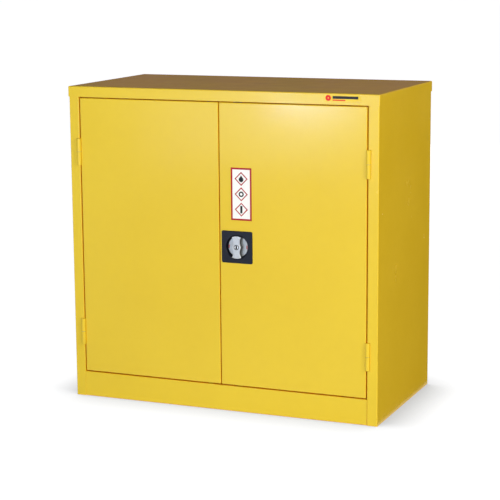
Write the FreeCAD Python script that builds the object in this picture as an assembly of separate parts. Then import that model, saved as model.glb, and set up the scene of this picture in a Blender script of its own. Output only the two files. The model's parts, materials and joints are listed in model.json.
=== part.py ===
import FreeCAD, Part
import math
import os

# Two-door flammable storage cabinet in folded sheet steel, standing on the floor.
# Millimetres. +X is to the right of someone facing the doors, +Y runs to the back, +Z is up.
# The origin is at the middle of the footprint, on the floor.
# The right-hand door carries a turn-knob lock that drives a rod up and a rod down.
# The left-hand door has a sliding bolt at the top and one at the bottom.

V = FreeCAD.Vector

# ---- driving dimensions -------------------------------------------------------------
WIDTH = 900.0            # across the side panels
DEPTH = 470.0            # stile faces to the back of the side panels
HEIGHT = 880.0           # floor to the top of the lid
SHEET = 1.2              # steel sheet
BEND = 1.3               # inside radius of a fold
LID_OVERHANG = 2.0       # lid skirt outside the panels, all round
FASCIA = 29.0            # height of the lid skirt
STILE = 29.4             # width of the frame's upright face
PLINTH = 71.0            # height of the kick plate
DOOR_GAP = 3.0           # gap round the pair of doors
CENTRE_GAP = 2.4         # gap between the two doors
DOOR_DEPTH = 20.0        # thickness of a door pan
DOOR_LIP = 14.0          # return flange at the back of a door pan
STOP_DEPTH = 22.8        # stile face to the lip that the door closes against
STOP_LIP = 12.0          # width of that lip
REAR_FLANGE = 14.0       # side panel's fold at the back
FOOT_FLANGE = 24.0       # side panel's fold along the floor
TRAY_FLOOR = 18.0        # underside of the sump tray above the ground

HINGE_Z = (188.0, 699.0)  # middle of the lower and the upper hinge
HINGE_LENGTH = 75.0
BARREL_R = 6.5
PIN_R = 3.5
PIN_PLAY = 0.05
HINGE_OUT = 1.8          # hinge axis beyond the edge of the stile
HINGE_PROUD = 1.5        # hinge axis in front of the stile faces
HINGE_NOTCH = 0.3        # clearance round a barrel in the sheet that it is let into
LEAF = 2.0
LEAF_REACH = 18.0        # how far a leaf runs behind the stile faces
WASHER = 0.6             # between the two halves of a barrel, with its play

SHELF_TOPS = (350.0, 615.0)
SHELF_DEPTH = 25.0
UPRIGHT_PITCH = 25.0

LOCK_X = 51.5            # lock axis, from the middle of the cabinet
LOCK_Z = 459.0
PLATE_W = 89.5
PLATE_H = 88.0
PLATE_PROUD = 2.5
DISH_R = 32.0
DISH_FLOOR = -9.6        # lock heights are measured out of the door's face
CAM_BACK = -26.0
CAM_SHEET = 3.0
CRANK_R = 16.0           # knob axis to the pins that drive the rods
CRANK_PIN_R = 2.5
ROD_W = 12.0
ROD_T = 3.0
ROD_Y = 11.0             # rod behind the door's face where it leaves the door
BOLT_X = -34.0
BOLT_R = 4.0

# ---- worked out from the driving dimensions -----------------------------------------
HINGE_FRONT = HINGE_PROUD + BARREL_R
FRONT = -(DEPTH + LID_OVERHANG + HINGE_FRONT) / 2 + HINGE_FRONT   # y of the stile faces
BACK = FRONT + DEPTH
SIDE = WIDTH / 2
OPEN_X = SIDE - STILE                  # half the width of the frame's opening
LID_BOTTOM = HEIGHT - FASCIA
HEADER_Z = LID_BOTTOM + 1.0            # underside of the frame's top member
DOOR_IN = CENTRE_GAP / 2               # door edge at the middle of the cabinet
DOOR_OUT = OPEN_X - DOOR_GAP           # door edge at the hinges
DOOR_LOW = PLINTH + DOOR_GAP
DOOR_HIGH = LID_BOTTOM - DOOR_GAP
DOOR_W = DOOR_OUT - DOOR_IN
DOOR_H = DOOR_HIGH - DOOR_LOW
HINGE_X = OPEN_X + HINGE_OUT           # hinge axis, from the middle of the cabinet
OUTER_BEND = BEND + SHEET
INNER_WALL = SIDE - SHEET


# ---- helpers ------------------------------------------------------------------------
def box(x, y, z):
    """A box from its (low, high) pair on each axis."""
    return Part.makeBox(x[1] - x[0], y[1] - y[0], z[1] - z[0], V(x[0], y[0], z[0]))


def rod(radius, start, end):
    """A round bar between two points."""
    run = end - start
    return Part.makeCylinder(radius, run.Length, start, run)


def mirrored(shape):
    """The same piece on the other side of the cabinet."""
    return shape.mirror(V(0, 0, 0), V(1, 0, 0))


def rounded_wire(points, radii):
    """A closed wire through 3D points, each corner rounded to its radius."""
    edges, previous = [], None
    first = None
    for i, corner in enumerate(points):
        to_last = (points[i - 1] - corner).normalize()
        to_next = (points[(i + 1) % len(points)] - corner).normalize()
        if radii[i] > 0:
            half = to_last.getAngle(to_next) / 2
            reach = radii[i] / math.tan(half)
            middle = (to_last + to_next).normalize()
            start, end = corner + to_last * reach, corner + to_next * reach
            crown = corner + middle * (radii[i] / math.sin(half) - radii[i])
        else:
            start = end = corner
        if previous is not None:
            edges.append(Part.makeLine(previous, start))
        else:
            first = start
        if radii[i] > 0:
            edges.append(Part.Arc(start, crown, end).toShape())
        previous = end
    edges.append(Part.makeLine(previous, first))
    return Part.Wire(edges)


def folded(path, side, place, run):
    """Sheet folded along a 2D path, with its thickness on the path's left (1) or right (-1).

    place turns a 2D point into a 3D one, and run is the vector that the section is pulled along.
    """
    flat = [V(u, v, 0) for u, v in path]
    ways = [(b - a).normalize() for a, b in zip(flat, flat[1:])]
    normals = [V(-w.y, w.x, 0) * side for w in ways]
    other, path_radii, other_radii = [], [], []
    for i, point in enumerate(flat):
        before, after = normals[max(i - 1, 0)], normals[min(i, len(normals) - 1)]
        other.append(point + (before + after) * (SHEET / (1 + before.dot(after))))
        if i in (0, len(flat) - 1):
            path_radii.append(0)
            other_radii.append(0)
            continue
        turns_inward = ways[i - 1].cross(ways[i]).z * side > 0
        path_radii.append(OUTER_BEND if turns_inward else BEND)
        other_radii.append(BEND if turns_inward else OUTER_BEND)
    outline = [place(p.x, p.y) for p in flat + other[::-1]]
    wire = rounded_wire(outline, path_radii + other_radii[::-1])
    return Part.Face(wire).extrude(run)


def pan(size_x, size_y, depth, lip=0.0, sheet=SHEET, radius=OUTER_BEND):
    """A folded pan: its face lies at z = 0 and its walls rise to z = depth, centred on x and y.

    With a lip, the walls end in flanges folded inwards.
    """
    outer = box((-size_x / 2, size_x / 2), (-size_y / 2, size_y / 2), (0, depth))
    half_x, half_y = size_x / 2 - sheet, size_y / 2 - sheet
    top = depth - sheet if lip else depth + radius
    inner = box((-half_x, half_x), (-half_y, half_y), (sheet, top))

    def kept_sharp(edge, level):
        return not lip and all(abs(v.Z - level) < 0.01 for v in edge.Vertexes)

    outer = outer.makeFillet(radius, [e for e in outer.Edges if not kept_sharp(e, depth)])
    inner = inner.makeFillet(radius - sheet, [e for e in inner.Edges if not kept_sharp(e, top)])
    shell = outer.cut(inner)
    if lip:
        mouth = box((lip - size_x / 2, size_x / 2 - lip), (lip - size_y / 2, size_y / 2 - lip),
                    (depth - 2 * sheet, depth + sheet))
        corners = [e for e in mouth.Edges if abs(e.tangentAt(e.FirstParameter).z) > 0.99]
        shell = shell.cut(mouth.makeFillet(4.0, corners))
    return shell


def stood_up(shape, x, z):
    """Turns a pan so that its face looks to the front at the stile faces."""
    turned = shape.copy()
    turned.rotate(V(0, 0, 0), V(1, 0, 0), -90)
    turned.translate(V(x, FRONT, z))
    return turned


def on_lock(shape):
    """Puts a piece drawn about the lock axis, z out of the door's face, where the lock is."""
    placed = shape.copy()
    placed.rotate(V(0, 0, 0), V(1, 0, 0), 90)
    placed.translate(V(LOCK_X, FRONT, LOCK_Z))
    return placed


def top_edges(shape, level):
    """The edges of a shape that lie wholly at one height."""
    return [e for e in shape.Edges
            if all(abs(v.Z - level) < 0.01 for v in e.Vertexes)
            and abs(e.CenterOfMass.z - level) < 0.01]


def upright_edges(shape):
    """The straight edges of a shape that run along z."""
    return [e for e in shape.Edges
            if e.Curve.TypeId == "Part::GeomLine" and abs(e.tangentAt(e.FirstParameter).z) > 0.99]


# ---- carcass ------------------------------------------------------------------------
def side_panel():
    """Right side: rear flange, wall, stile, return, door stop and foot, folded from one sheet."""
    path = [(OPEN_X - STOP_LIP, FRONT + STOP_DEPTH), (OPEN_X, FRONT + STOP_DEPTH),
            (OPEN_X, FRONT), (SIDE, FRONT), (SIDE, BACK), (SIDE - REAR_FLANGE, BACK)]
    wall = folded(path, 1, lambda u, v: V(u, v, 0), V(0, 0, HEIGHT - SHEET))
    foot = box((SIDE - FOOT_FLANGE, INNER_WALL + SHEET / 2),
               (FRONT + STOP_DEPTH + 2 * SHEET, BACK - 2 * SHEET), (0, SHEET))
    return wall.fuse(foot).removeSplitter().cut(hinge_notches())


def back_panel():
    """Plain sheet welded to the inside of the rear flanges, clear of the folds beside them."""
    half = INNER_WALL - BEND - 0.3
    return box((-half, half), (BACK - 2 * SHEET, BACK - SHEET), (2 * SHEET, HEIGHT - SHEET))


def top_lid():
    """Lid with a skirt on all four sides, the front one being the fascia."""
    width, depth = WIDTH + 2 * LID_OVERHANG, DEPTH + 2 * LID_OVERHANG
    lid = pan(width, depth, FASCIA)
    lid.rotate(V(0, 0, 0), V(1, 0, 0), 180)
    lid.translate(V(0, FRONT + DEPTH / 2, HEIGHT))
    return lid


def frame_member(path, side):
    """A fold that runs between the stiles, notched round the door stops of the side panels."""
    member = folded(path, side, lambda u, v: V(-OPEN_X, u, v), V(2 * OPEN_X, 0, 0))
    clear = 0.3
    low, high = OPEN_X - STOP_LIP - clear, OPEN_X + clear
    levels = [v for _, v in path]
    for x in ((low, high), (-high, -low)):
        notch = box(x, (FRONT + STOP_DEPTH - BEND - SHEET, FRONT + STOP_DEPTH + 2 * SHEET),
                    (min(levels) - 1, max(levels) + 1))
        member = member.cut(notch)
    return member


def strike_slots(z):
    """Slots in a frame member that the lock rod and the left-hand door's bolt shoot into."""
    slots = []
    for x, half_w, half_t in ((LOCK_X, ROD_W / 2, ROD_T / 2), (BOLT_X, BOLT_R, BOLT_R)):
        wide, deep = half_w + 3, half_t + 2.5
        slots.append(box((x - wide, x + wide), (FRONT + ROD_Y - deep, FRONT + ROD_Y + deep),
                         (z - 2, z + 2)))
    return slots


def header_rail():
    """Top member of the frame, behind the fascia."""
    path = [(FRONT, HEIGHT - 2 * SHEET), (FRONT, HEADER_Z),
            (FRONT + STOP_DEPTH, HEADER_Z), (FRONT + STOP_DEPTH, HEADER_Z - STOP_LIP)]
    return frame_member(path, 1).cut(strike_slots(HEADER_Z + SHEET / 2))


def plinth():
    """Kick plate between the stiles, with its top flange and door stop."""
    foot = 15.0
    path = [(FRONT + foot, 0), (FRONT, 0), (FRONT, PLINTH),
            (FRONT + STOP_DEPTH, PLINTH), (FRONT + STOP_DEPTH, PLINTH + STOP_LIP)]
    return frame_member(path, -1).cut(strike_slots(PLINTH - SHEET / 2))


def sump_tray():
    """Liquid-tight base tray that catches spills and is the cabinet's floor."""
    clear = 0.5
    front, back = FRONT + STOP_DEPTH + SHEET + clear, BACK - 2 * SHEET - clear
    tray = pan(2 * (INNER_WALL - clear), back - front, PLINTH + STOP_LIP - TRAY_FLOOR)
    tray.translate(V(0, (front + back) / 2, TRAY_FLOOR))
    return tray


# ---- shelves and their supports -----------------------------------------------------
UPRIGHT_W = 20.0
UPRIGHT_DEPTH = 10.0
UPRIGHT_Z = (100.0, 840.0)
UPRIGHT_Y = (FRONT + 75.0, BACK - 75.0)
WEB_X = INNER_WALL - UPRIGHT_DEPTH
SLOT_W = 3.0
SLOT_H = 14.0
LEDGE = 2.0
LEDGE_REACH = 15.0
LEDGE_W = 16.0


def shelf_upright(y):
    """Right-hand slotted channel that the shelf clips hook into."""
    half = UPRIGHT_W / 2
    path = [(INNER_WALL, y - half), (WEB_X, y - half), (WEB_X, y + half), (INNER_WALL, y + half)]
    low, high = UPRIGHT_Z
    channel = folded(path, -1, lambda u, v: V(u, v, low), V(0, 0, high - low))
    slots = []
    z = low + UPRIGHT_PITCH
    while z < high - SLOT_H:
        slots.append(box((WEB_X - 1, WEB_X + 2 * SHEET), (y - SLOT_W / 2, y + SLOT_W / 2),
                         (z - SLOT_H / 2, z + SLOT_H / 2)))
        z += UPRIGHT_PITCH
    return channel.cut(slots)


def shelf_clip(y, shelf_bottom):
    """Right-hand clip: a ledge under the shelf, with a hook through a slot of the upright."""
    hook_t = SLOT_W - 0.6
    gap = 0.2
    low = UPRIGHT_Z[0]
    slot_z = low + UPRIGHT_PITCH * math.floor((shelf_bottom - low) / UPRIGHT_PITCH)
    ledge = box((WEB_X - gap - LEDGE_REACH, WEB_X - gap), (y - LEDGE_W / 2, y + LEDGE_W / 2),
                (shelf_bottom - LEDGE, shelf_bottom))
    face = box((WEB_X - gap - LEDGE, WEB_X - gap), (y - LEDGE_W / 2, y + LEDGE_W / 2),
               (slot_z - SLOT_H / 2, shelf_bottom))
    rib = Part.Face(Part.makePolygon([
        V(WEB_X - gap - LEDGE, y - hook_t / 2, shelf_bottom - LEDGE),
        V(WEB_X - gap - LEDGE_REACH + 2, y - hook_t / 2, shelf_bottom - LEDGE),
        V(WEB_X - gap - LEDGE, y - hook_t / 2, slot_z - SLOT_H / 2),
        V(WEB_X - gap - LEDGE, y - hook_t / 2, shelf_bottom - LEDGE)])).extrude(V(0, hook_t, 0))
    tab = box((WEB_X - gap, WEB_X + 6), (y - hook_t / 2, y + hook_t / 2),
              (slot_z - SLOT_H / 2 + 1, slot_z + SLOT_H / 2 - 1))
    heel = box((WEB_X + SHEET + gap, WEB_X + 6), (y - hook_t / 2, y + hook_t / 2),
               (slot_z - SLOT_H / 2 - 3, slot_z))
    return ledge.fuse([face, rib, tab, heel]).removeSplitter()


def shelf_clips(shelf_top):
    """The four clips of one shelf."""
    right = [shelf_clip(y, shelf_top - SHELF_DEPTH) for y in UPRIGHT_Y]
    return Part.makeCompound(right + [mirrored(clip) for clip in right])


def shelf(top):
    """Galvanised shelf, folded down and under on all four sides."""
    side_gap = 1.5
    width = 2 * (WEB_X - side_gap)
    front, back = FRONT + 36.0, BACK - 12.0
    tray = pan(width, back - front, SHELF_DEPTH, lip=DOOR_LIP)
    tray.rotate(V(0, 0, 0), V(1, 0, 0), 180)
    tray.translate(V(0, (front + back) / 2, top))
    return tray


# ---- hinges -------------------------------------------------------------------------
def hinge_axis(z):
    return V(HINGE_X, FRONT - HINGE_PROUD, z)


def hinge_notches():
    """What the right-hand hinge barrels need cut out of the stile and of the door's edge."""
    reach = HINGE_LENGTH / 2 + HINGE_NOTCH
    return [rod(BARREL_R + HINGE_NOTCH, hinge_axis(z - reach), hinge_axis(z + reach)) for z in HINGE_Z]


def barrel(low, high, rounded_level):
    """Half a hinge barrel, with its outer end rounded off."""
    half = Part.makeCylinder(BARREL_R, high - low, hinge_axis(low))
    return half.makeFillet(1.5, top_edges(half, rounded_level))


def leaf(x, low, high):
    """Flat leaf that runs from the barrel into the gap beside the door."""
    inset = 1.0
    return box(x, (FRONT - HINGE_PROUD, FRONT + LEAF_REACH), (low + inset, high - inset))


def frame_knuckle(z):
    """Lower half of a right-hand hinge, welded to the stile and holding the pin."""
    low, high = z - HINGE_LENGTH / 2, z - WASHER / 2
    half = barrel(low, high, low).fuse(leaf((OPEN_X - LEAF, OPEN_X), low, high))
    pin_bottom = low + 3.0
    return half.cut(rod(PIN_R, hinge_axis(pin_bottom), hinge_axis(high + 1))).removeSplitter()


def door_knuckle(z):
    """Upper half of a right-hand hinge, welded to the door's edge and turning on the pin."""
    low, high = z + WASHER / 2, z + HINGE_LENGTH / 2
    half = barrel(low, high, high).fuse(leaf((DOOR_OUT, DOOR_OUT + LEAF), low, high))
    bore_top = high - 4.0
    return half.cut(rod(PIN_R + PIN_PLAY, hinge_axis(low - 1), hinge_axis(bore_top))).removeSplitter()


def hinge_pin(z):
    """Pin fixed in the lower knuckle."""
    return rod(PIN_R, hinge_axis(z - HINGE_LENGTH / 2 + 3.0), hinge_axis(z + HINGE_LENGTH / 2 - 6.0))


def hinge_washer(z):
    """Bearing washer between the two knuckles."""
    play = 0.1
    disc = Part.makeCylinder(BARREL_R - 0.2, WASHER - play, hinge_axis(z - WASHER / 2))
    return disc.cut(Part.makeCylinder(PIN_R + 0.1, WASHER, hinge_axis(z - WASHER / 2)))


# ---- doors --------------------------------------------------------------------------
def door_pan():
    """Right-hand door skin with folded edges, return flanges and hinge notches, before any holes."""
    blank = pan(DOOR_W, DOOR_H, DOOR_DEPTH, lip=DOOR_LIP)
    return stood_up(blank, (DOOR_IN + DOOR_OUT) / 2, (DOOR_LOW + DOOR_HIGH) / 2).cut(hinge_notches())


GUIDE_W = 26.0
GUIDE_T = 12.0
GUIDE_COLLAR_W = 24.0
GUIDE_COLLAR_T = 9.0
LOCK_CUTOUT_R = 35.5
LOCK_SCREW_AT = 37.0
LOCK_SCREW_R = 2.0


def right_door_skin():
    """Active door: pan with the lock cut-out, its screw holes and the two rod openings."""
    skin = door_pan()
    cuts = [on_lock(rod(LOCK_CUTOUT_R, V(0, 0, -3), V(0, 0, 1)))]
    for x, y in lock_screw_places():
        cuts.append(on_lock(rod(LOCK_SCREW_R + 0.4, V(x, y, -3), V(x, y, 1))))
    half_w, half_t = GUIDE_COLLAR_W / 2 + 0.2, GUIDE_COLLAR_T / 2 + 0.2
    for z in (DOOR_LOW, DOOR_HIGH):
        cuts.append(box((LOCK_X - half_w, LOCK_X + half_w),
                        (FRONT + ROD_Y - half_t, FRONT + ROD_Y + half_t),
                        (z - 1.5 * SHEET, z + 1.5 * SHEET)))
    return skin.cut(cuts)


def left_door_skin():
    """Passive door: the same pan mirrored, with a hole for each bolt."""
    skin = mirrored(door_pan())
    cuts = [rod(BOLT_R + 0.5, V(BOLT_X, FRONT + ROD_Y, z - 3), V(BOLT_X, FRONT + ROD_Y, z + 3))
            for z in (DOOR_LOW, DOOR_HIGH)]
    return skin.cut(cuts)


def door_stiffener():
    """Top-hat channel welded upright inside the right-hand door."""
    middle, brim, crown, rise, clear = 235.0, 18.0, 30.0, 15.0, 18.0
    face, top = FRONT + SHEET, FRONT + SHEET + rise
    path = [(middle - crown - brim, face), (middle - crown, face), (middle - crown, top),
            (middle + crown, top), (middle + crown, face), (middle + crown + brim, face)]
    low, high = DOOR_LOW + clear, DOOR_HIGH - clear
    return folded(path, 1, lambda u, v: V(u, v, low), V(0, 0, high - low))


def meeting_strip():
    """Flat strip behind the left-hand door's free edge, which closes the gap between the doors."""
    tip = DOOR_IN - 1.4
    return box((-DOOR_IN - DOOR_LIP + 1, tip), (FRONT + DOOR_DEPTH, FRONT + DOOR_DEPTH + SHEET),
               (DOOR_LOW + 4, DOOR_HIGH - 4))


def lock_keeper():
    """Plate on the strip that the lock's tongue turns behind."""
    face = FRONT + DOOR_DEPTH + SHEET
    half = 22.0
    return box((-DOOR_IN - DOOR_LIP + 1, -DOOR_IN), (face, face + 1.4), (LOCK_Z - half, LOCK_Z + half))


def door_buffers():
    """Rubber buffers on the side panels' door stops."""
    thick, radius, inset = 2.4, 4.0, 7.0
    stop = FRONT + STOP_DEPTH
    discs = []
    for x in (OPEN_X - inset, inset - OPEN_X):
        for z in (DOOR_LOW + 40, DOOR_HIGH - 40):
            disc = rod(radius, V(x, stop - thick, z), V(x, stop, z))
            discs.append(disc)
    return Part.makeCompound(discs)


# ---- lock: drawn about its own axis, x right, y up, z out of the door's face ------------
KNOB_BOSS_R = 9.0
KNOB_DISC_R = 28.4
KNOB_DISC = (-9.2, -6.2)
GRIP_TOP = 6.2
GRIP_END_R = 31.0
GRIP_WAIST = 9.5
GRIP_SCOOP_R = 22.0
GRIP_SCOOP_Z = 14.0
CYLINDER_R = 7.2
PLUG_R = 5.5
PLUG_BACK = -6.0
SQUARE = 9.0
CAM_R = 22.0
TONGUE_W = 20.0
TONGUE_REACH = 66.0
YOKE_FRONT = CAM_BACK - 0.8
YOKE_IN = 6.3
YOKE_OUT = 23.0
YOKE_PLAY = 0.7
CRANK_START = math.radians(225)
ROD_TRAVEL = 2 * CRANK_R * math.sin(math.radians(45))
ROD_TIP_GAP = 1.8        # how far a withdrawn rod stands out of the door


def lock_screw_places():
    return [(x, y) for x in (-LOCK_SCREW_AT, LOCK_SCREW_AT) for y in (-LOCK_SCREW_AT, LOCK_SCREW_AT)]


def lock_plate():
    """Black moulded escutcheon with the round dish that the knob sits in."""
    wall = 2.5
    floor_t = 3.0
    face = box((-PLATE_W / 2, PLATE_W / 2), (-PLATE_H / 2, PLATE_H / 2), (0, PLATE_PROUD))
    face = face.makeFillet(5.0, upright_edges(face))
    face = face.makeFillet(1.2, top_edges(face, PLATE_PROUD))
    cup = rod(DISH_R + wall, V(0, 0, DISH_FLOOR - floor_t), V(0, 0, PLATE_PROUD / 2))
    boss = rod(KNOB_BOSS_R + 5, V(0, 0, CAM_BACK + CAM_SHEET + 1.4), V(0, 0, DISH_FLOOR))
    body = face.fuse([cup, boss])
    dish = rod(DISH_R, V(0, 0, DISH_FLOOR), V(0, 0, PLATE_PROUD + 1))
    mouth = Part.makeCone(DISH_R, DISH_R + 1.0, 1.0, V(0, 0, PLATE_PROUD - 1.0))
    bore = rod(KNOB_BOSS_R + PIN_PLAY, V(0, 0, CAM_BACK), V(0, 0, 0))
    body = body.cut([dish, mouth, bore])
    for x, y in lock_screw_places():
        body = body.cut(rod(LOCK_SCREW_R, V(x, y, -1), V(x, y, PLATE_PROUD - 1.0)))
    return on_lock(body.removeSplitter())


def lock_clamp_plate():
    """Steel plate inside the door that the lock's screws pull against."""
    half = 43.0
    face = box((-half, half), (-half, half), (-SHEET - 2.0, -SHEET))
    face = face.makeFillet(4.0, upright_edges(face))
    cuts = [rod(LOCK_CUTOUT_R, V(0, 0, -5), V(0, 0, 0))]
    cuts += [rod(LOCK_SCREW_R + 0.3, V(x, y, -5), V(x, y, 0)) for x, y in lock_screw_places()]
    return on_lock(face.cut(cuts))


def lock_screws():
    """Four screws that hold the escutcheon from inside the door."""
    head = -SHEET - 2.0
    screws = []
    for x, y in lock_screw_places():
        dome = rod(3.8, V(x, y, head - 2.6), V(x, y, head))
        dome = dome.makeFillet(1.4, top_edges(dome, head - 2.6))
        cross = box((x - 2.0, x + 2.0), (y - 0.45, y + 0.45), (head - 3, head - 1.4))
        cross = cross.fuse(box((x - 0.45, x + 0.45), (y - 2.0, y + 2.0), (head - 3, head - 1.4)))
        shank = rod(LOCK_SCREW_R, V(x, y, head), V(x, y, PLATE_PROUD - 1.0))
        screws.append(on_lock(dome.cut(cross).fuse(shank).removeSplitter()))
    return Part.makeCompound(screws)


def lock_knob():
    """Turn-knob: a disc with a twice-waisted grip across it, on a boss that carries the cam."""
    disc = rod(KNOB_DISC_R, V(0, 0, KNOB_DISC[0]), V(0, 0, KNOB_DISC[1]))
    disc = disc.makeFillet(0.8, top_edges(disc, KNOB_DISC[1]))
    grip = rod(GRIP_END_R, V(0, 0, KNOB_DISC[0]), V(0, 0, GRIP_TOP))
    scoop_at = GRIP_WAIST + GRIP_SCOOP_R
    for x in (-scoop_at, scoop_at):
        for y in (-GRIP_SCOOP_Z, GRIP_SCOOP_Z):
            grip = grip.cut(rod(GRIP_SCOOP_R, V(x, y, KNOB_DISC[0] - 1), V(x, y, GRIP_TOP + 1)))
        beyond = (15.0, GRIP_END_R) if x > 0 else (-GRIP_END_R, -15.0)
        grip = grip.cut(box(beyond, (-GRIP_SCOOP_Z, GRIP_SCOOP_Z), (KNOB_DISC[0] - 1, GRIP_TOP + 1)))
    crests = [e for e in upright_edges(grip) if abs(e.CenterOfMass.y) < 2]
    grip = grip.makeFillet(5.0, crests)
    grip = grip.makeFillet(1.2, top_edges(grip, GRIP_TOP))
    boss = rod(KNOB_BOSS_R, V(0, 0, CAM_BACK + CAM_SHEET), V(0, 0, KNOB_DISC[0]))
    half = SQUARE / 2
    square = box((-half, half), (-half, half), (CAM_BACK, CAM_BACK + CAM_SHEET))
    knob = disc.fuse([grip, boss, square])
    seat = rod(CYLINDER_R, V(0, 0, PLUG_BACK - 2), V(0, 0, GRIP_TOP + 1))
    screw_hole = rod(2.5, V(0, 0, CAM_BACK - 1), V(0, 0, CAM_BACK + 9))
    return on_lock(knob.cut([seat, screw_hole]).removeSplitter())


def knob_markers():
    """Two red inlays on the knob's disc that show which way it is turned."""
    marks = []
    for side in (-1, 1):
        mark = box((-1.4, 1.4), (-4.8, 4.8), (KNOB_DISC[1], KNOB_DISC[1] + 0.4))
        mark = mark.makeFillet(0.9, upright_edges(mark))
        mark.translate(V(side * 25.9, 0, 0))
        marks.append(on_lock(mark))
    return Part.makeCompound(marks)


def lock_cylinder():
    """Barrel of the key lock, pressed into the grip."""
    body = rod(CYLINDER_R, V(0, 0, PLUG_BACK - 2), V(0, 0, GRIP_TOP + 0.5))
    body = body.makeFillet(0.6, top_edges(body, GRIP_TOP + 0.5))
    return on_lock(body.cut(rod(PLUG_R + PIN_PLAY, V(0, 0, PLUG_BACK), V(0, 0, GRIP_TOP + 1))))


def key_plug():
    """Plug that the key turns, with its keyway."""
    face = GRIP_TOP + 0.2
    plug = rod(PLUG_R, V(0, 0, PLUG_BACK), V(0, 0, face))
    plug = plug.makeFillet(0.4, top_edges(plug, face))
    keyway = box((-0.9, 0.9), (-3.6, 3.6), (face - 8, face + 1))
    return on_lock(plug.cut(keyway))


def crank_pin_at(angle):
    return CRANK_R * math.cos(angle), CRANK_R * math.sin(angle)


def lock_cam():
    """Cam plate with its tongue and the two pins that drive the rods."""
    front = CAM_BACK + CAM_SHEET
    disc = rod(CAM_R, V(0, 0, CAM_BACK), V(0, 0, front))
    tongue = box((-TONGUE_W / 2, TONGUE_W / 2), (-TONGUE_REACH, 0), (CAM_BACK, front))
    ends = [e for e in upright_edges(tongue) if e.CenterOfMass.y < -1]
    cam = disc.fuse(tongue.makeFillet(6.0, ends)).removeSplitter()
    half = SQUARE / 2 + 0.02
    cam = cam.cut(box((-half, half), (-half, half), (CAM_BACK - 1, front + 1)))
    for angle in (CRANK_START, CRANK_START + math.pi):
        x, y = crank_pin_at(angle)
        cam = cam.fuse(rod(CRANK_PIN_R, V(x, y, YOKE_FRONT - ROD_T - 1), V(x, y, CAM_BACK)))
    return on_lock(cam.removeSplitter())


def cam_screw():
    """Screw that holds the cam on the knob's boss."""
    head = rod(5.0, V(0, 0, CAM_BACK - 2.8), V(0, 0, CAM_BACK))
    head = head.makeFillet(1.2, top_edges(head, CAM_BACK - 2.8))
    hexagon = Part.makePolygon([V(1.7 * math.cos(a), 1.7 * math.sin(a), CAM_BACK - 3)
                                for a in [math.radians(60 * i) for i in range(7)]])
    socket = Part.Face(hexagon).extrude(V(0, 0, 1.8))
    shank = rod(2.5, V(0, 0, CAM_BACK), V(0, 0, CAM_BACK + 9))
    return on_lock(head.cut(socket).fuse(shank).removeSplitter())


def lock_rod(tip):
    """Upper rod: slotted yoke beside the cam, flat bar, and the joggle into the door's thickness."""
    back, front = YOKE_FRONT - ROD_T, YOKE_FRONT
    _, pin_y = crank_pin_at(CRANK_START)
    half_slot = CRANK_PIN_R + YOKE_PLAY
    arm_low, bridge = pin_y - half_slot - 3, (24.0, 38.0)
    arm = box((-YOKE_OUT, -YOKE_IN), (arm_low, bridge[1]), (back, front))
    cross = box((-YOKE_OUT, ROD_W / 2), bridge, (back, front))
    yoke = arm.fuse(cross).removeSplitter()
    near, far = CRANK_R * math.cos(math.radians(45)), CRANK_R
    slot = box((-far - half_slot, -near + half_slot), (pin_y - half_slot, pin_y + half_slot),
               (back - 1, front + 1))
    yoke = on_lock(yoke.cut(slot))
    joggle_low, joggle_high = LOCK_Z + 110, LOCK_Z + 165
    inner, outer = FRONT - back, FRONT + ROD_Y + ROD_T / 2
    start = LOCK_Z + bridge[0] + 2
    outline = [V(0, inner, start), V(0, inner, joggle_low), V(0, outer, joggle_high), V(0, outer, tip - 3),
               V(0, outer - 1, tip), V(0, outer - ROD_T + 1, tip), V(0, outer - ROD_T, tip - 3),
               V(0, outer - ROD_T, joggle_high), V(0, inner - ROD_T, joggle_low),
               V(0, inner - ROD_T, start)]
    radii = [0, 8.0, 11.0, 0, 0, 0, 0, 8.0, 11.0, 0]
    for point in outline:
        point.x = LOCK_X - ROD_W / 2
    bar = Part.Face(rounded_wire(outline, radii)).extrude(V(ROD_W, 0, 0))
    return yoke.fuse(bar).removeSplitter()


def turned_over(shape):
    """A half turn about the lock axis, which makes a lower piece from an upper one."""
    turned = shape.copy()
    turned.rotate(V(LOCK_X, FRONT, LOCK_Z), V(0, 1, 0), 180)
    return turned


def rod_guide():
    """Black plastic guide in the door's top edge that the rod slides through."""
    seat, low, proud = DOOR_HIGH - SHEET, DOOR_HIGH - SHEET - 9, 0.8
    half_w, half_t = GUIDE_W / 2 + 4, GUIDE_T / 2
    y = FRONT + ROD_Y
    block = box((LOCK_X - half_w, LOCK_X + half_w), (y - half_t, y + half_t), (low, seat))
    block = block.makeFillet(2.0, upright_edges(block))
    collar = box((LOCK_X - GUIDE_COLLAR_W / 2, LOCK_X + GUIDE_COLLAR_W / 2),
                 (y - GUIDE_COLLAR_T / 2, y + GUIDE_COLLAR_T / 2), (seat, DOOR_HIGH + proud))
    play = 0.3
    hole = box((LOCK_X - ROD_W / 2 - play, LOCK_X + ROD_W / 2 + play),
               (y - ROD_T / 2 - play, y + ROD_T / 2 + play), (low - 1, DOOR_HIGH + 2))
    return block.fuse(collar).cut(hole).removeSplitter()


# ---- bolts of the left-hand door ----------------------------------------------------
BOLT_LENGTH = 107.0
BRACKET_W = 26.0
BRACKET_H = 60.0


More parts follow.
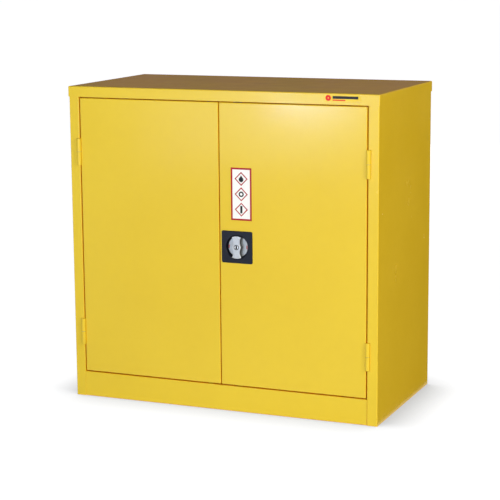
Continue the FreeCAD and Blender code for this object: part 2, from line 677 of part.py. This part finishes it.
def door_bolt():
    """Round bolt with a finger pin, at the top of the left-hand door."""
    tip = DOOR_HIGH + 0.5
    y = FRONT + ROD_Y
    bar = rod(BOLT_R, V(BOLT_X, y, tip - BOLT_LENGTH), V(BOLT_X, y, tip))
    bar = bar.makeChamfer(1.2, top_edges(bar, tip))
    pin_z = tip - BOLT_LENGTH + 8
    pin = rod(2.5, V(BOLT_X, y, pin_z), V(BOLT_X, FRONT + DOOR_DEPTH + 8, pin_z))
    cap = rod(4.0, V(BOLT_X, FRONT + DOOR_DEPTH + 5, pin_z), V(BOLT_X, FRONT + DOOR_DEPTH + 9, pin_z))
    return bar.fuse([pin, cap]).removeSplitter()


def bolt_bracket():
    """Channel welded inside the left-hand door, whose two ears guide the bolt."""
    high = DOOR_HIGH - 12
    low = high - BRACKET_H
    face, y = FRONT + SHEET, FRONT + ROD_Y
    back = y + BOLT_R + 3
    half = BRACKET_W / 2
    web = box((BOLT_X - half, BOLT_X + half), (face, face + 1.6), (low, high))
    ears = [box((BOLT_X - half, BOLT_X + half), (face, back), z)
            for z in ((low, low + 1.6), (high - 1.6, high))]
    bore = rod(BOLT_R + 0.1, V(BOLT_X, y, low - 1), V(BOLT_X, y, high + 1))
    return web.fuse(ears).cut(bore).removeSplitter()


def lowered(shape):
    """The matching piece at the bottom of a door: the upper one turned end for end."""
    middle = (DOOR_LOW + DOOR_HIGH) / 2
    return shape.mirror(V(0, 0, middle), V(0, 0, 1))


# ---- labels -------------------------------------------------------------------------
def door_label():
    """Blank backing of the sticker on the right-hand door."""
    width, height, thick = 60.0, 142.5, 0.3
    x, z = 64.5, 603.5
    return box((x - width / 2, x + width / 2), (FRONT - thick, FRONT), (z - height / 2, z + height / 2))


def fascia_label():
    """Blank backing of the small sticker on the fascia."""
    width, height, thick = 98.0, 16.0, 0.3
    x, z = 351.0, HEIGHT - 12.0
    face = FRONT - LID_OVERHANG
    return box((x - width / 2, x + width / 2), (face - thick, face), (z - height / 2, z + height / 2))


# ---- every node ---------------------------------------------------------------------
def build():
    right_side = side_panel()
    upright_front, upright_rear = (shelf_upright(y) for y in UPRIGHT_Y)
    rod_up = lock_rod(DOOR_HIGH + ROD_TIP_GAP)
    rod_down = turned_over(lock_rod(2 * LOCK_Z - DOOR_LOW + ROD_TIP_GAP))
    guide_up, bolt_up, bracket_up = rod_guide(), door_bolt(), bolt_bracket()
    nodes = {
        "side_panel_right": right_side,
        "side_panel_left": mirrored(right_side),
        "back_panel": back_panel(),
        "top_lid": top_lid(),
        "header_rail": header_rail(),
        "plinth": plinth(),
        "sump_tray": sump_tray(),
        "shelf_upright_front_right": upright_front,
        "shelf_upright_front_left": mirrored(upright_front),
        "shelf_upright_rear_right": upright_rear,
        "shelf_upright_rear_left": mirrored(upright_rear),
        "door_buffers": door_buffers(),
        "right_door_skin": right_door_skin(),
        "left_door_skin": left_door_skin(),
        "right_door_stiffener": door_stiffener(),
        "left_door_stiffener": mirrored(door_stiffener()),
        "meeting_strip": meeting_strip(),
        "lock_keeper": lock_keeper(),
        "lock_plate": lock_plate(),
        "lock_clamp_plate": lock_clamp_plate(),
        "lock_screws": lock_screws(),
        "lock_knob": lock_knob(),
        "knob_markers": knob_markers(),
        "lock_cylinder": lock_cylinder(),
        "key_plug": key_plug(),
        "lock_cam": lock_cam(),
        "cam_screw": cam_screw(),
        "upper_lock_rod": rod_up,
        "lower_lock_rod": rod_down,
        "upper_rod_guide": guide_up,
        "lower_rod_guide": lowered(guide_up),
        "upper_door_bolt": bolt_up,
        "lower_door_bolt": lowered(bolt_up),
        "upper_bolt_bracket": bracket_up,
        "lower_bolt_bracket": lowered(bracket_up),
        "door_label": door_label(),
        "fascia_label": fascia_label(),
    }
    for level, top in zip(("lower", "upper"), SHELF_TOPS):
        nodes[f"{level}_shelf"] = shelf(top)
        nodes[f"{level}_shelf_clips"] = shelf_clips(top)
    washers = []
    for level, z in zip(("lower", "upper"), HINGE_Z):
        for piece, maker in (("frame_knuckle", frame_knuckle), ("door_knuckle", door_knuckle),
                             ("hinge_pin", hinge_pin)):
            right = maker(z)
            nodes[f"right_{level}_{piece}"] = right
            nodes[f"left_{level}_{piece}"] = mirrored(right)
        washers += [hinge_washer(z), mirrored(hinge_washer(z))]
    nodes["hinge_washers"] = Part.makeCompound(washers)
    return nodes


os.makedirs("parts", exist_ok=True)
for name, shape in build().items():
    shape.exportStep(f"parts/{name}.step")
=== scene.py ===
import json
import math

import bpy
from mathutils import Matrix, Vector


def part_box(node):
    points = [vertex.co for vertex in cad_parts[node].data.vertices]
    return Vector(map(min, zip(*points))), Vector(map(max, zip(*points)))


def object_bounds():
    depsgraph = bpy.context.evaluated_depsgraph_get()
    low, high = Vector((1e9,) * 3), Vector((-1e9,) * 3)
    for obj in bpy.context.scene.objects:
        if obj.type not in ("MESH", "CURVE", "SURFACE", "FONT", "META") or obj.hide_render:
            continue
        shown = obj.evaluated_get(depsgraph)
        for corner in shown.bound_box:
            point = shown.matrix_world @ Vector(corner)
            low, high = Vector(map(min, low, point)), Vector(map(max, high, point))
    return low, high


# Looks of the flammable storage cabinet: yellow powder coat, galvanised shelves, black lock
# escutcheon with a silver knob, and two plain printed stickers. Metres, in the CAD frame.

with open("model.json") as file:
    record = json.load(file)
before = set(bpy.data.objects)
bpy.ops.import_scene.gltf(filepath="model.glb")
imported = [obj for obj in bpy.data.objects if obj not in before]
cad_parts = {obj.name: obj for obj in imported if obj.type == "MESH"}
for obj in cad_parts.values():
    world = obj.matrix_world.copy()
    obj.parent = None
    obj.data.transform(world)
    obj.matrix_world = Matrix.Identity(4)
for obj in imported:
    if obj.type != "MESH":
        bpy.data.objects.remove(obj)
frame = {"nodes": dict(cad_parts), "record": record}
cad_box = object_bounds()
scene = bpy.context.scene
nodes = frame["nodes"]


def middle(node):
    low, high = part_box(node)
    return (low + high) / 2


lock_at = middle("lock_plate")
stile_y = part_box("side_panel_right")[0].y


# ---- node-tree helpers --------------------------------------------------------------
class Nodes:
    """Adds linked nodes to one tree with short calls."""

    def __init__(self, tree):
        self.nodes, self.links = tree.nodes, tree.links
        self.nodes.clear()
        self.coordinates = self.nodes.new("ShaderNodeTexCoord")
        self.where = self.coordinates.outputs["Object"]

    def put(self, socket, value):
        """Links a socket to another one, or sets its value."""
        if isinstance(value, bpy.types.NodeSocket):
            self.links.new(value, socket)
        else:
            socket.default_value = value

    def fill(self, node, *values):
        """Puts a node's first inputs, in order."""
        for socket, value in zip(node.inputs, values):
            self.put(socket, value)
        return node

    def math(self, how, a, b=0.0):
        node = self.nodes.new("ShaderNodeMath")
        node.operation = how
        return self.fill(node, a, b).outputs[0]

    def plus(self, a, b):
        return self.math("ADD", a, b)

    def minus(self, a, b):
        return self.math("SUBTRACT", a, b)

    def times(self, a, b):
        return self.math("MULTIPLY", a, b)

    def larger(self, a, b):
        return self.math("MAXIMUM", a, b)

    def size(self, value):
        return self.math("ABSOLUTE", value)

    def reach(self, a, b):
        """Distance from the origin of a point given by two coordinates."""
        return self.math("SQRT", self.plus(self.times(a, a), self.times(b, b)))

    def vector(self, how, a, b=(0, 0, 0)):
        node = self.nodes.new("ShaderNodeVectorMath")
        node.operation = how
        self.fill(node, a, b)
        return node.outputs["Value"] if how in ("LENGTH", "DOT_PRODUCT") else node.outputs["Vector"]

    def scaled(self, x, y, z):
        """Object coordinates stretched by a factor on each axis."""
        return self.vector("MULTIPLY", self.where, (x, y, z))

    def parts(self, vector):
        node = self.fill(self.nodes.new("ShaderNodeSeparateXYZ"), vector)
        return node.outputs[0], node.outputs[1], node.outputs[2]

    def joined(self, x, y, z):
        return self.fill(self.nodes.new("ShaderNodeCombineXYZ"), x, y, z).outputs[0]

    def noise(self, scale, detail=3.0, rough=0.5, at=None):
        node = self.nodes.new("ShaderNodeTexNoise")
        self.put(node.inputs["Vector"], at or self.where)
        for name, value in (("Scale", scale), ("Detail", detail), ("Roughness", rough)):
            node.inputs[name].default_value = value
        return node.outputs["Fac"]

    def cells(self, scale, at=None, out="Distance"):
        node = self.nodes.new("ShaderNodeTexVoronoi")
        self.put(node.inputs["Vector"], at or self.where)
        node.inputs["Scale"].default_value = scale
        return node.outputs[out]

    def fit(self, value, low, high, to_low=0.0, to_high=1.0, smooth=False):
        """Carries the range low to high over to another one, and stops at its ends."""
        node = self.nodes.new("ShaderNodeMapRange")
        node.interpolation_type = "SMOOTHSTEP" if smooth else "LINEAR"
        return self.fill(node, value, low, high, to_low, to_high).outputs[0]

    def within(self, value, limit, soft=0.12):
        """1 where a value is under its limit, with a soft edge."""
        return self.fit(value, limit + soft, limit - soft)

    def mix(self, factor, a, b):
        """Colour a where the factor is 0, colour b where it is 1."""
        node = self.nodes.new("ShaderNodeMix")
        node.data_type = "RGBA"
        for place, value in ((0, factor), (6, a), (7, b)):
            self.put(node.inputs[place], value)
        return node.outputs[2]

    def bump(self, height, distance, strength=1.0, normal=None):
        node = self.nodes.new("ShaderNodeBump")
        node.inputs["Strength"].default_value = strength
        node.inputs["Distance"].default_value = distance
        self.put(node.inputs["Height"], height)
        if normal is not None:
            self.put(node.inputs["Normal"], normal)
        return node.outputs[0]

    def open_sky(self, distance, samples):
        """1 in the open, towards 0 in gaps and corners narrower than a distance."""
        node = self.nodes.new("ShaderNodeAmbientOcclusion")
        node.samples = samples
        node.inputs["Distance"].default_value = distance
        return node.outputs["AO"]

    def edges(self, radius):
        """1 on convex and concave edges within a radius, 0 on flat faces."""
        bevel = self.nodes.new("ShaderNodeBevel")
        bevel.samples = 4
        bevel.inputs["Radius"].default_value = radius
        normal = self.nodes.new("ShaderNodeNewGeometry").outputs["Normal"]
        return self.fit(self.vector("DOT_PRODUCT", bevel.outputs[0], normal), 0.995, 0.9, smooth=True)


class Surface(Nodes):
    """One material's nodes, round a principled shader."""

    def __init__(self, name):
        self.material = bpy.data.materials.get(name) or bpy.data.materials.new(name)
        self.material.use_nodes = True
        super().__init__(self.material.node_tree)
        self.shader = self.nodes.new("ShaderNodeBsdfPrincipled")
        self.output = self.nodes.new("ShaderNodeOutputMaterial")
        self.links.new(self.shader.outputs[0], self.output.inputs[0])

    def set(self, **values):
        """Sets the shader's sockets, by name with underscores for spaces."""
        for name, value in values.items():
            self.put(self.shader.inputs[name.replace("_", " ")], value)


def colour(red, green, blue):
    """An sRGB colour given as 0 to 255, as the linear values that shaders take."""
    def linear(value):
        value /= 255
        return value / 12.92 if value <= 0.04045 else ((value + 0.055) / 1.055) ** 2.4
    return (linear(red), linear(green), linear(blue), 1.0)


# ---- materials ----------------------------------------------------------------------
def powder_coat(name, rough=0.24, peel=1.0):
    """Semi-gloss yellow powder coat: orange peel, paler edges from a thin coat with a painted highlight,
    painted amber shade in the gaps, and faint handling marks.
    """
    edge_radius, gap_width = 0.0008, 0.010
    hand_near, hand_far = 0.05, 0.20
    t = Surface(name)
    base = t.mix(t.fit(t.noise(2.2, 2.0), 0.35, 0.65), colour(229, 196, 41), colour(233, 201, 47))
    mottle = t.fit(t.noise(38.0, 4.0, 0.6), 0.3, 0.7, 0.0, 0.10)
    base = t.mix(mottle, base, colour(215, 180, 35))
    specks = t.fit(t.cells(230.0), 0.035, 0.015, 0.0, 0.35)
    specks = t.times(specks, t.fit(t.noise(16.0, 2.0), 0.58, 0.66))
    base = t.mix(specks, base, colour(176, 140, 30))
    # Paler edges: partly a thinner coat, partly a painted highlight along the bends and edges.
    thin_coat_and_highlight = t.times(t.edges(edge_radius), t.fit(t.noise(90.0, 3.0, 0.6), 0.35, 0.7, 0.25, 1.0))
    base = t.mix(t.times(thin_coat_and_highlight, 0.35), base, colour(240, 214, 92))
    # Painted shade: gaps and corners narrower than gap_width turn amber-orange, for shade and light bounced
    # between the yellow faces.
    gap = t.fit(t.minus(1.0, t.open_sky(gap_width, 8)), 0.35, 0.85, 0.0, 0.9)
    base = t.mix(gap, base, colour(246, 150, 16))
    from_lock = t.vector("SUBTRACT", t.where, tuple(lock_at))
    away = t.vector("LENGTH", t.vector("MULTIPLY", from_lock, (1.0, 1.0, 0.8)))
    smudges = t.fit(t.noise(26.0, 4.0, 0.62), 0.45, 0.7)
    handled = t.times(t.fit(away, hand_far, hand_near, smooth=True), smudges)
    sheen = t.fit(t.noise(9.0, 4.0, 0.6), 0.3, 0.7, rough - 0.03, rough + 0.04)
    sheen = t.plus(sheen, t.times(handled, 0.03))
    orange_peel = t.plus(t.noise(420.0, 2.0), t.times(t.noise(1500.0, 2.0), 0.35))
    waves = t.noise(5.0, 1.0, 0.4, at=t.scaled(1.0, 1.0, 0.7))
    normal = t.bump(orange_peel, 0.00005 * peel, 0.55, t.bump(waves, 0.0006, 0.25))
    t.set(Base_Color=base, Roughness=sheen, Normal=normal, Metallic=0.0, IOR=1.5,
          Specular_IOR_Level=0.4)
    return t.material


def galvanised(name):
    """Hot-dip zinc with its crystal spangle, each crystal a little different in tone and sheen."""
    t = Surface(name)
    ragged = t.joined(t.noise(40.0), t.noise(47.0), t.noise(53.0))
    warped = t.vector("ADD", t.where, t.vector("MULTIPLY", ragged, (0.012, 0.012, 0.012)))
    crystal = t.parts(t.cells(75.0, warped, "Color"))[0]
    fine = t.parts(t.cells(190.0, warped, "Color"))[1]
    tone = t.plus(t.times(crystal, 0.7), t.times(fine, 0.3))
    base = t.mix(tone, colour(158, 164, 170), colour(214, 218, 222))
    stain = t.fit(t.noise(7.0, 4.0, 0.6), 0.5, 0.75, 0.0, 0.25)
    base = t.mix(stain, base, colour(170, 170, 166))
    scratch = t.fit(t.noise(260.0, 2.0, 0.6, at=t.scaled(0.04, 1.0, 1.0)), 0.62, 0.7, 0.0, 0.2)
    sheen = t.plus(t.fit(tone, 0.0, 1.0, 0.30, 0.48), scratch)
    t.set(Base_Color=base, Metallic=1.0, Roughness=sheen, Normal=t.bump(tone, 0.0002, 0.12))
    return t.material


def zinc_plate(name):
    """Bright zinc plate with fine drawn lines and a faint straw tint, black and not metallic at each rod's
    end, from about 3 mm inside the door's top and bottom edges outwards.
    """
    rough = 0.3
    low, high = (corner.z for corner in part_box("right_door_skin"))
    half_door = (high - low) / 2
    t = Surface(name)
    from_middle = t.size(t.minus(t.parts(t.where)[2], (low + high) / 2))
    # Black and not metallic from about 3 mm inside the door's top and bottom edges outwards.
    black_end = t.fit(from_middle, half_door - 0.003, half_door - 0.002)
    lines = t.noise(900.0, 2.0, 0.6, at=t.scaled(1.0, 1.0, 0.03))
    tone = t.mix(t.fit(t.noise(30.0), 0.35, 0.65), colour(196, 200, 206), colour(202, 202, 192))
    dull = t.fit(t.noise(140.0), 0.6, 0.75, 0.0, 0.3)
    tone = t.mix(dull, tone, colour(150, 152, 154))
    tone = t.mix(black_end, tone, colour(34, 32, 30))
    t.set(Base_Color=tone, Metallic=t.minus(1.0, black_end), Normal=t.bump(lines, 0.00002, 0.4),
          Roughness=t.fit(lines, 0.3, 0.7, rough - 0.06, rough + 0.1))
    return t.material


def turned_steel(name):
    """Turned pins and washers: fine rings across the axis and a film of oil."""
    t = Surface(name)
    rings = t.noise(2600.0, 1.0, at=t.scaled(0.02, 0.02, 1.0))
    oil = t.fit(t.noise(120.0), 0.4, 0.7)
    base = t.mix(oil, colour(138, 134, 122), colour(98, 92, 78))
    t.set(Base_Color=base, Metallic=1.0, Roughness=t.fit(oil, 0.0, 1.0, 0.34, 0.2),
          Normal=t.bump(rings, 0.00002, 0.4))
    return t.material


def moulded(name, base, rough=0.5, gloss=0.5, dust=0.05):
    """Moulded plastic with a fine spark-eroded grain, and edges that are rubbed smoother and lighter, their
    lighter tone partly a painted edge highlight.
    """
    shade = tuple(0.8 * channel for channel in base[:3]) + (1.0,)
    rubbed_and_highlight = tuple(min(1.0, 2.6 * channel + 0.01) for channel in base[:3]) + (1.0,)
    t = Surface(name)
    pits = t.noise(1400.0, 3.0, 0.65)
    edge = t.edges(0.0008)
    tone = t.mix(t.fit(t.noise(22.0), 0.3, 0.7), base, shade)
    # Lighter edges: partly rubbed wear, partly a painted edge highlight.
    tone = t.mix(t.times(edge, 0.35), tone, rubbed_and_highlight)
    settled = t.fit(t.noise(60.0, 5.0, 0.7), 0.55, 0.8, 0.0, dust)
    tone = t.mix(settled, tone, colour(150, 150, 150))
    sheen = t.minus(t.fit(pits, 0.3, 0.7, rough - 0.05, rough + 0.08), t.times(edge, 0.12))
    t.set(Base_Color=tone, Roughness=sheen, Specular_IOR_Level=gloss, Normal=t.bump(pits, 0.00004, 0.5))
    return t.material


def silver_lacquer(name):
    """Die-cast knob in silver lacquer: metal flake, soft cast skin and worn crests, with painted shade on
    the grip's sideways flanks and on the sunk disc.
    """
    t = Surface(name)
    flake = t.parts(t.cells(2600.0, out="Color"))[0]
    base = t.mix(t.fit(flake, 0.0, 1.0), colour(164, 165, 167), colour(188, 188, 189))
    worn = t.times(t.edges(0.0010), t.fit(t.noise(180.0), 0.4, 0.65))
    base = t.mix(t.times(worn, 0.5), base, colour(228, 232, 236))
    grime = t.fit(t.noise(75.0, 4.0, 0.65), 0.5, 0.8, 0.0, 0.16)
    base = t.mix(grime, base, colour(120, 126, 132))
    # Painted shade: faces turned sideways, the grip's flanks, are darkened to dark grey by their direction;
    # they are also rougher.
    facing = t.parts(t.coordinates.outputs["Normal"])[1]
    flank = t.fit(t.size(facing), 0.80, 0.45)
    base = t.mix(t.times(flank, 0.92), base, colour(70, 70, 66))
    # Painted shade: the disc that sits deeper than the front plane is made darker, the deeper the darker.
    _, depth, _ = t.parts(t.where)
    painted_recess_shade = t.fit(t.minus(depth, stile_y), -0.002, 0.004, 0.0, 0.40)
    base = t.mix(painted_recess_shade, base, colour(112, 118, 126))
    skin = t.noise(520.0, 2.0)
    sheen = t.plus(t.fit(skin, 0.3, 0.7, 0.28, 0.38), t.times(flank, 0.15))
    t.set(Base_Color=base, Metallic=1.0, Roughness=sheen, Normal=t.bump(skin, 0.00004, 0.35))
    return t.material


def polished_ring(name):
    """Chromed lock cylinder with painted shade in a ring at the plug's edge and in the keyway, and turning
    marks round the lock's axis.
    """
    seam_shade_from, seam_shade_to = 0.0050, 0.0056
    key_half_width, key_half_height, key_edge = 0.0024, 0.0046, 0.0002
    t = Surface(name)
    x, _, z = t.parts(t.vector("SUBTRACT", t.where, tuple(lock_at)))
    radius = t.reach(x, z)
    rings = t.noise(3000.0, 1.0, at=t.joined(radius, 0.0, 0.0))
    scuff = t.fit(t.noise(300.0, 4.0, 0.6), 0.55, 0.75)
    base = t.mix(scuff, colour(236, 238, 240), colour(196, 200, 206))
    keyway_shade = t.times(t.within(t.size(x), key_half_width, key_edge),
                     t.within(t.size(z), key_half_height, key_edge))
    # Painted shade: the ring at the plug's edge and the keyway are darkened to near black.
    base = t.mix(t.larger(t.fit(radius, seam_shade_from, seam_shade_to), keyway_shade), base, colour(34, 36, 42))
    t.set(Base_Color=base, Metallic=1.0, Roughness=t.fit(scuff, 0.0, 1.0, 0.14, 0.34),
          Normal=t.bump(rings, 0.00001, 0.5))
    return t.material


def enamel(name):
    """Red enamel, a little faded in places."""
    t = Surface(name)
    fade = t.fit(t.noise(200.0), 0.35, 0.7)
    t.set(Base_Color=t.mix(fade, colour(168, 22, 40), colour(140, 16, 32)),
          Roughness=t.fit(fade, 0.0, 1.0, 0.3, 0.42), Normal=t.bump(t.noise(900.0, 2.0), 0.00002, 0.3))
    return t.material


def rubber(name):
    """Black rubber with a grey bloom."""
    t = Surface(name)
    bloom = t.fit(t.noise(150.0, 4.0, 0.6), 0.45, 0.75)
    t.set(Base_Color=t.mix(bloom, colour(26, 26, 27), colour(52, 52, 54)),
          Roughness=t.fit(bloom, 0.0, 1.0, 0.7, 0.85), Normal=t.bump(t.noise(700.0, 4.0, 0.6), 0.0001, 0.4))
    return t.material


# ---- printed stickers, drawn in millimetres from the middle of each ----------------------
def local_plane(t, node):
    """Millimetres right of and above the middle of a flat piece that faces the front."""
    x, _, z = t.parts(t.vector("SUBTRACT", t.where, tuple(middle(node))))
    return t.times(x, 1000.0), t.times(z, 1000.0)


def drop(t, x, z):
    """A round bulb with a point above it."""
    bulb_radius, bulb_down, slope, tip = 6.8, 2.0, 1.7, 9.8
    bulb = t.within(t.reach(x, t.plus(z, bulb_down)), bulb_radius)
    point = t.within(t.plus(t.times(t.size(x), slope), z), tip)
    return t.larger(bulb, t.times(point, t.within(t.times(z, -1.0), 0.2)))


def ring(t, x, z, radius=5.6, half_line=1.9):
    return t.within(t.size(t.minus(t.reach(x, z), radius)), half_line)


def bar(t, x, z, half_width=3.1, half_height=10.2):
    return t.times(t.within(t.size(x), half_width), t.within(t.size(z), half_height))


def door_sticker(name):
    """White vinyl with a red border and three red diamonds round plain black shapes."""
    border, pitch, diamond, half_line = 4.8, 41.5, 17.0, 2.0
    t = Surface(name)
    x, z = local_plane(t, "door_label")
    low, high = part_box("door_label")
    half_w, half_h = (high.x - low.x) * 500, (high.z - low.z) * 500
    red_print = t.larger(t.minus(1.0, t.within(t.size(x), half_w - border)),
                         t.minus(1.0, t.within(t.size(z), half_h - border)))
    black_print = 0.0
    for place, shape in ((pitch, drop), (0.0, ring), (-pitch, bar)):
        above = t.minus(z, place)
        out = t.plus(t.size(x), t.size(above))
        red_print = t.larger(red_print, t.within(t.size(t.minus(out, diamond)), half_line))
        black_print = t.larger(black_print, shape(t, x, above))
    base = t.mix(t.fit(t.noise(40.0), 0.3, 0.7), colour(249, 248, 246), colour(246, 245, 243))
    base = t.mix(red_print, base, colour(166, 0, 20))
    base = t.mix(black_print, base, colour(2, 2, 3))
    ink_film = t.larger(red_print, black_print)
    sheen = t.minus(t.fit(t.noise(120.0), 0.3, 0.7, 0.34, 0.42), t.times(ink_film, 0.06))
    wrinkle = t.bump(t.noise(11.0, 2.0, at=t.scaled(1.0, 1.0, 0.5)), 0.0005, 0.15)
    t.set(Base_Color=base, Roughness=sheen, Specular_IOR_Level=0.25,
          Normal=t.bump(ink_film, 0.00002, 0.4, wrinkle))
    return t.material


def fascia_sticker(name):
    """Yellow vinyl with a plain red ring, a long black bar and a short red one."""
    t = Surface(name)
    x, z = local_plane(t, "fascia_label")
    base = t.mix(t.fit(t.noise(50.0), 0.3, 0.7), colour(236, 205, 62), colour(232, 199, 54))
    base = t.mix(ring(t, t.plus(x, 39.0), z, 4.6, 3.0), base, colour(226, 30, 4))
    base = t.mix(bar(t, t.minus(x, 8.0), t.minus(z, 1.8), 35.0, 3.6), base, colour(22, 18, 14))
    base = t.mix(bar(t, t.plus(x, 9.5), t.plus(z, 5.3), 17.5, 1.5), base, colour(226, 30, 4))
    t.set(Base_Color=base, Roughness=t.fit(t.noise(120.0), 0.3, 0.7, 0.3, 0.38),
          Specular_IOR_Level=0.25, Normal=t.bump(t.noise(14.0, 2.0), 0.0004, 0.15))
    return t.material


finish = {
    "carcass_paint": powder_coat("carcass_paint"),
    "lid_paint": powder_coat("lid_paint", rough=0.23),
    "door_paint": powder_coat("door_paint", rough=0.15),
    "hinge_paint": powder_coat("hinge_paint", rough=0.25, peel=0.8),
    "shelf_steel": galvanised("shelf_steel"),
    "zinc_steel": zinc_plate("zinc_steel"),
    "pin_steel": turned_steel("pin_steel"),
    "lock_black": moulded("lock_black", colour(16, 20, 36), rough=0.36, gloss=0.22, dust=0.02),
    "guide_black": moulded("guide_black", colour(30, 31, 34)),
    "knob_metal": silver_lacquer("knob_metal"),
    "cylinder_chrome": polished_ring("cylinder_chrome"),
    "marker_red": enamel("marker_red"),
    "buffer_rubber": rubber("buffer_rubber"),
    "door_label": door_sticker("door_label"),
    "fascia_label": fascia_sticker("fascia_label"),
}
for part in frame["record"]["subparts"]:
    obj = nodes[part["node"]]
    obj.data.materials.clear()
    obj.data.materials.append(finish[part["material_slot"]])


# ---- floor, light and camera --------------------------------------------------------
def sheet_of(name, corners, material):
    """A flat four-cornered piece of the studio."""
    mesh = bpy.data.meshes.new(name)
    mesh.from_pydata(corners, [], [(0, 1, 2, 3)])
    mesh.materials.append(material)
    obj = bpy.data.objects.new(name, mesh)
    scene.collection.objects.link(obj)
    return obj


def floor():
    """A pale floor that shows white where no shadow falls on it, with a painted contact shadow in neutral
    grey close to the cabinet.
    """
    half, level = 120.0, -0.0005
    front = cad_box[0].y
    t = Surface("floor_material")
    path = t.nodes.new("ShaderNodeLightPath").outputs
    seen = t.larger(path["Is Camera Ray"], path["Is Glossy Ray"])
    seen = t.larger(seen, path["Is Transmission Ray"])
    pale = t.mix(t.fit(t.noise(0.8), 0.3, 0.7), colour(196, 196, 197), colour(200, 200, 201))
    t.set(Base_Color=t.mix(seen, pale, colour(96, 102, 110)), Roughness=0.9, Specular_IOR_Level=0.0)
    # Painted contact shadow: the glow seen by camera and gloss rays dims with ambient occlusion near the
    # cabinet, down to 0.74 in front and 0.53 beside it.
    painted_shadow_darkest = t.fit(t.parts(t.where)[1], front - 0.01, front + 0.05, 0.74, 0.53)
    white = t.fit(t.open_sky(0.15, 16), 0.5, 0.96, painted_shadow_darkest, 0.99)
    glow = t.nodes.new("ShaderNodeEmission")
    t.fill(glow, (1, 1, 1, 1), t.times(seen, white))
    both = t.fill(t.nodes.new("ShaderNodeAddShader"), t.shader.outputs[0], glow.outputs[0])
    t.links.new(both.outputs[0], t.output.inputs[0])
    corners = [(-half, -half, level), (half, -half, level), (half, half, level), (-half, half, level)]
    sheet_of("floor", corners, t.material)


def dark_flags():
    """Black boards on the floor at both sides of the cabinet, which only gloss sees."""
    low, high = cad_box
    reach, gap, level = 60.0, 0.004, 0.0005
    front = low.y + 0.03
    t = Surface("flag_material")
    t.set(Base_Color=t.mix(t.noise(3.0), colour(12, 12, 12), colour(16, 16, 16)),
          Roughness=1.0, Specular_IOR_Level=0.0)
    for side, edge in (("right", high.x + gap), ("left", low.x - gap)):
        far = edge + math.copysign(reach, edge)
        corners = [(edge, front, level), (far, front, level), (far, reach, level), (edge, reach, level)]
        board = sheet_of("flag_" + side, corners, t.material)
        board.visible_camera = False
        board.visible_diffuse = False
        board.visible_shadow = False
        board.visible_transmission = False


def studio_world():
    """Dim surroundings over a bright ground: grey in front, warm brown behind, with soft upright drapes."""
    world = bpy.data.worlds.new("studio")
    scene.world = world
    world.use_nodes = True
    t = Nodes(world.node_tree)
    x, y, z = t.parts(t.coordinates.outputs["Generated"])

    def wall(horizon, overhead):
        ramp = t.fill(t.nodes.new("ShaderNodeValToRGB"), z)
        ramp.color_ramp.interpolation = "EASE"
        stops = ramp.color_ramp.elements
        stops[0].position, stops[0].color = 0.0, (0.9, 0.9, 0.9, 1)
        stops[1].position, stops[1].color = 0.05, horizon
        stops.new(0.5).color = overhead
        return ramp.outputs[0]

    grey = wall((0.16, 0.18, 0.19, 1), (0.18, 0.19, 0.19, 1))
    brown = wall((0.225, 0.095, 0.105, 1), (0.19, 0.14, 0.14, 1))
    walls = t.mix(t.fit(y, -0.3, 0.3), grey, brown)
    folds = t.nodes.new("ShaderNodeTexNoise")
    folds.noise_dimensions = "1D"
    folds.inputs["Scale"].default_value = 26.0
    folds.inputs["Detail"].default_value = 1.0
    t.put(folds.inputs["W"], x)
    drapes = t.fit(folds.outputs[0], 0.5, 0.6, 0.0, 0.45)
    glow = t.fill(t.nodes.new("ShaderNodeBackground"), t.mix(drapes, walls, (0.20, 0.15, 0.10, 1)))
    t.fill(t.nodes.new("ShaderNodeOutputWorld"), glow.outputs[0])


def soft_box(name, at, aim, width, height, power, tint):
    lamp = bpy.data.lights.new(name, "AREA")
    lamp.shape = "RECTANGLE"
    lamp.size, lamp.size_y = width, height
    lamp.energy = power
    lamp.color = tint
    obj = bpy.data.objects.new(name, lamp)
    obj.location = at
    obj.rotation_euler = (Vector(aim) - Vector(at)).to_track_quat("-Z", "Y").to_euler()
    obj.visible_camera = False
    scene.collection.objects.link(obj)
    return obj


def camera():
    """Camera in front, to the right and a little above, looking slightly down."""
    turn, down, roll = math.radians(22.67), math.radians(10.40), math.radians(-0.43)
    at = (1.739, stile_y - 3.951, 1.2395)
    ahead = Vector((-math.sin(turn) * math.cos(down), math.cos(turn) * math.cos(down), -math.sin(down)))
    level = Vector((math.cos(turn), math.sin(turn), 0))
    upright = level.cross(ahead)
    right = level * math.cos(roll) + upright * math.sin(roll)
    up = upright * math.cos(roll) - level * math.sin(roll)
    lens = bpy.data.cameras.new("camera")
    lens.sensor_width = 36.0
    lens.lens = 116.75
    lens.clip_end = 400.0
    obj = bpy.data.objects.new("camera", lens)
    turned = Matrix((right, up, -ahead)).transposed().to_4x4()
    obj.matrix_world = Matrix.Translation(at) @ turned
    scene.collection.objects.link(obj)
    scene.camera = obj


floor()
dark_flags()
studio_world()
camera()
cabinet = (0.05, -0.2, 0.45)
right_side = (0.45, 0.0, 0.45)
right_door_top = (0.3, -0.23, 0.75)
soft_box("key", (1.23, -5.74, 1.75), cabinet, 5.0, 3.0, 226.0, (0.965, 0.97, 0.93))
soft_box("side", (4.33, -2.47, 1.66), cabinet, 0.9, 0.9, 88.0, (1.0, 0.90, 0.82))
soft_box("flank", (5.35, 0.60, 0.95), right_side, 1.6, 1.4, 38.0, (1.0, 0.86, 0.78))
soft_box("sheen", (-1.24, -3.8, 0.65), right_door_top, 1.3, 0.9, 7.2, (0.60, 0.78, 1.0))
soft_box("glint", (-1.08, -3.8, 0.60), right_door_top, 0.26, 0.16, 7.0, (0.42, 0.66, 1.0))
rear = soft_box("rear", (0.0, 6.0, 0.50), (0.0, 0.24, 0.45), 2.4, 1.6, 110.0, (1.0, 0.97, 0.93))
rear.visible_glossy = False
scene.view_settings.view_transform = "Standard"
